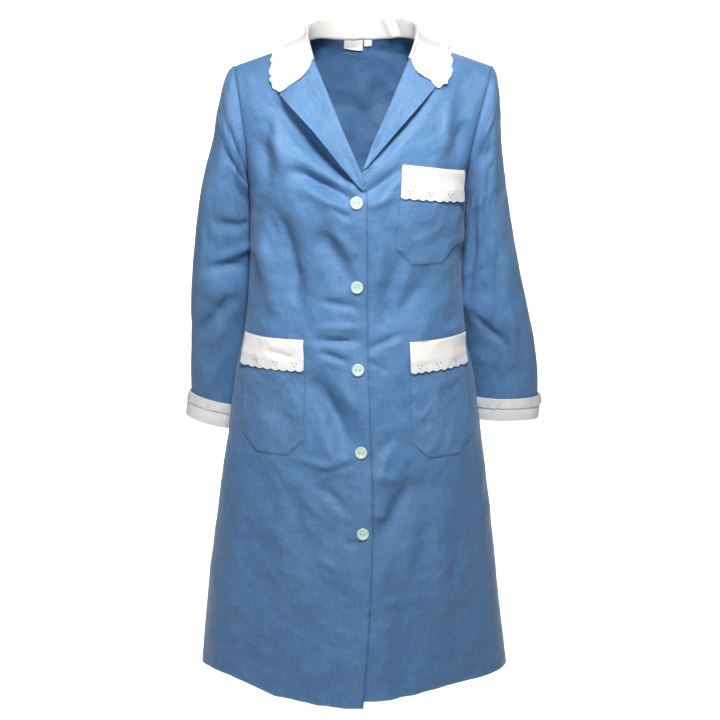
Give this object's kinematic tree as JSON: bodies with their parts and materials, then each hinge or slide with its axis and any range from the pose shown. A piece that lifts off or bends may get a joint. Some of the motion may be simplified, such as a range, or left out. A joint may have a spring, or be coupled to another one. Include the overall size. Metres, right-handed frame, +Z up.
{
  "type": "housekeeping tunic",
  "caption": "Long-sleeved button-front work tunic with notched collar, turned-back cuffs and patch pockets trimmed with scalloped lace",
  "frame": {"origin": "midway between the two points where the shoulder seams meet the neckline, where a wearer's shoulders hold the garment", "axes": "+Z up along the body, -Y out of the buttoned front, +X toward the wearer's left"},
  "size_m": [0.5785, 0.3195, 1.0243],
  "materials": {
    "tunic_cloth": "woven blue polyester and cotton twill with a slight sheen",
    "trim_cloth": "plain woven white polyester and cotton",
    "lace": "white embroidered eyelet lace with a scalloped edge",
    "label": "bare white satin-weave tape",
    "button": "pale pearly plastic"
  },
  "bodies": {
    "root": {"back": "tunic_cloth", "front_right": "tunic_cloth", "front_left": "tunic_cloth", "lapel_right": "tunic_cloth", "lapel_left": "tunic_cloth", "sleeve_right": "tunic_cloth", "sleeve_left": "tunic_cloth", "pocket_chest": "tunic_cloth", "pocket_hip_right": "tunic_cloth", "pocket_hip_left": "tunic_cloth", "collar": "trim_cloth", "cuff_right": "trim_cloth", "cuff_left": "trim_cloth", "band_chest": "trim_cloth", "band_hip_right": "trim_cloth", "band_hip_left": "trim_cloth", "collar_lace": "lace", "cuff_lace_right": "lace", "cuff_lace_left": "lace", "lace_chest": "lace", "lace_hip_right": "lace", "lace_hip_left": "lace", "neck_label": "label", "size_tag": "label", "button_1": "button", "button_2": "button", "button_3": "button", "button_4": "button", "button_5": "button"}
  },
  "joints": []
}
